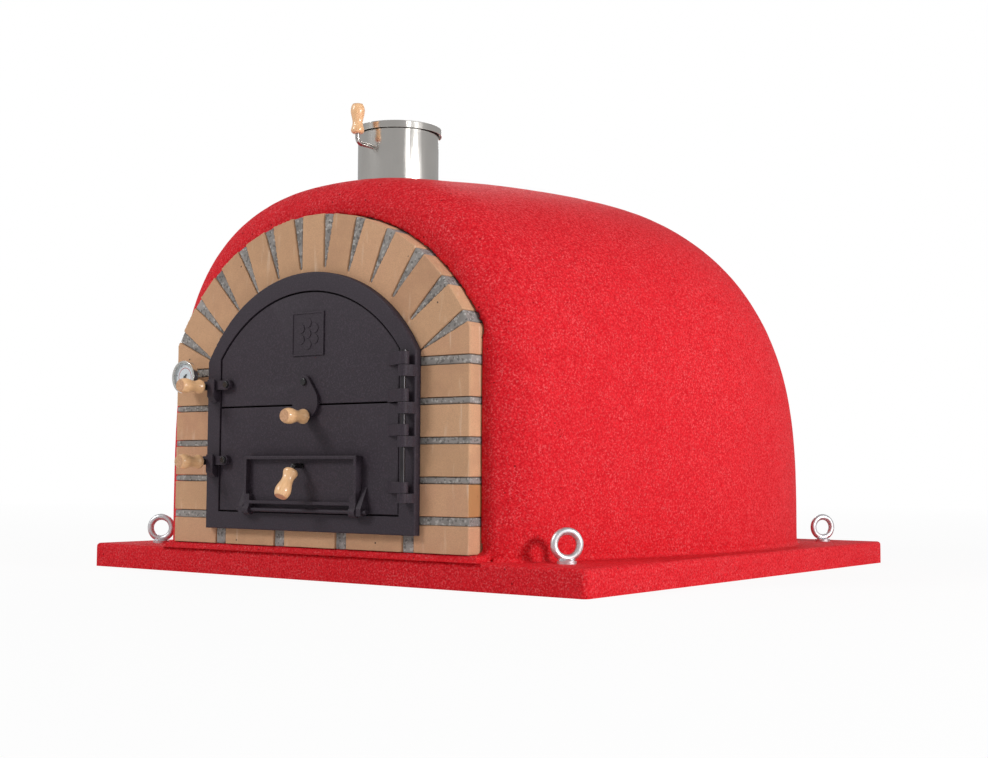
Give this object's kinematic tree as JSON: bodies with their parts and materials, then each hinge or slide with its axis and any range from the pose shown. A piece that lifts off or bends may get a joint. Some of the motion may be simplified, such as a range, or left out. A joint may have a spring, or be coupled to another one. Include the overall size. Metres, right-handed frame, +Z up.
{
  "type": "masonry pizza oven",
  "caption": "Wood-fired masonry oven on a square slab: rendered dome, brick arch front, two-leaf cast-iron door with air flap, thermometer, damped flue.",
  "frame": {"origin": "centre of the square slab's underside", "axes": "+Z up, the door faces -Y, +X to the right when facing the door"},
  "size_m": [1, 1.07, 0.745],
  "materials": {
    "concrete": "rough cast concrete",
    "red_render": "granular masonry coat, satin",
    "zinc": "zinc plated, slightly worn",
    "insert_steel": "plain machined",
    "board": "pressed mineral board",
    "firebrick": "fired clay tile",
    "refractory": "cast refractory concrete",
    "blanket": "ceramic fibre and vermiculite",
    "brick": "dry fired clay, fine pits",
    "mortar": "grey speckled",
    "cast_iron": "black stove paint, matte",
    "bolt_black": "black oxide",
    "rod_steel": "worn bright",
    "beech": "varnished",
    "stainless": "brushed, vertical seam",
    "rope": "woven seal",
    "case_steel": "polished",
    "dial_white": "printed scale, no text",
    "needle_black": "matte",
    "lens": "clear"
  },
  "bodies": {
    "oven": {"slab_core": "concrete", "slab_coat": "red_render", "lifting_sockets": "insert_steel", "lifting_eyes": "zinc", "hearth_insulation": "board", "hearth_tiles": "firebrick", "threshold_tile": "firebrick", "refractory_dome": "refractory", "entry_vault": "refractory", "dome_insulation": "blanket", "dome_render": "red_render", "sill_bricks": "brick", "pier_bricks": "brick", "springer_bricks": "brick", "arch_bricks": "brick", "pier_mortar": "mortar", "arch_mortar": "mortar", "door_frame": "cast_iron", "frame_anchors": "bolt_black", "latch_keepers": "cast_iron", "hinge_rod": "rod_steel", "flue_pipe": "stainless", "flue_rim": "stainless", "flue_gasket": "rope", "thermometer_case": "case_steel", "thermometer_dial": "dial_white", "thermometer_lens": "lens", "thermometer_bezel": "case_steel", "thermometer_probe": "stainless"},
    "gauge_needle": {"thermometer_needle": "needle_black"},
    "lower_door": {"lower_door_leaf": "cast_iron", "lower_pivot_bolt": "bolt_black", "lower_pivot_nut": "bolt_black", "flap_pivot_rod": "bolt_black"},
    "lower_latch": {"lower_latch_arm": "cast_iron", "lower_latch_ferrule": "bolt_black", "lower_latch_knob": "beech"},
    "air_flap": {"draught_flap": "cast_iron", "draught_flap_stem": "bolt_black", "draught_flap_knob": "beech"},
    "upper_door": {"upper_door_leaf": "cast_iron", "door_ornament": "cast_iron", "upper_pivot_bolts": "bolt_black", "upper_pivot_nuts": "bolt_black"},
    "upper_latch": {"upper_latch_arm": "cast_iron", "upper_latch_ferrule": "bolt_black", "upper_latch_knob": "beech"},
    "centre_latch": {"centre_latch_plate": "cast_iron", "centre_latch_ferrule": "bolt_black", "centre_latch_knob": "beech"},
    "damper": {"damper_disc": "stainless", "damper_rod": "stainless", "damper_screws": "stainless", "damper_knob": "beech"}
  },
  "joints": [
    {"name": "lower_door_hinge", "type": "hinge", "parent": "oven", "child": "lower_door", "pos_m": [0.205, -0.52, 0.19], "axis": [0, 0, 1], "range_deg": [0, 85]},
    {"name": "upper_door_hinge", "type": "hinge", "parent": "lower_door", "child": "upper_door", "pos_m": [0.205, -0.52, 0.3], "axis": [0, 0, 1], "range_deg": [0, 90]},
    {"name": "upper_latch_pivot", "type": "hinge", "parent": "upper_door", "child": "upper_latch", "pos_m": [-0.165, -0.5115, 0.2985], "axis": [0, 1, 0], "range_deg": [0, 40]},
    {"name": "centre_latch_pivot", "type": "hinge", "parent": "upper_door", "child": "centre_latch", "pos_m": [0.002, -0.5095, 0.297], "axis": [0, 1, 0], "range_deg": [-80, 80]},
    {"name": "lower_latch_pivot", "type": "hinge", "parent": "lower_door", "child": "lower_latch", "pos_m": [-0.168, -0.5115, 0.18], "axis": [0, 1, 0], "range_deg": [0, 40]},
    {"name": "air_flap_hinge", "type": "hinge", "parent": "lower_door", "child": "air_flap", "pos_m": [0, -0.5152, 0.104], "axis": [1, 0, 0], "range_deg": [0, 50]},
    {"name": "damper_turn", "type": "hinge", "parent": "oven", "child": "damper", "pos_m": [0, -0.298, 0.683], "axis": [0, 1, 0], "range_deg": [0, 90]},
    {"name": "gauge_needle_turn", "type": "hinge", "parent": "oven", "child": "gauge_needle", "pos_m": [-0.252, -0.519, 0.3125], "axis": [0, 1, 0], "range_deg": [0, 270]}
  ]
}
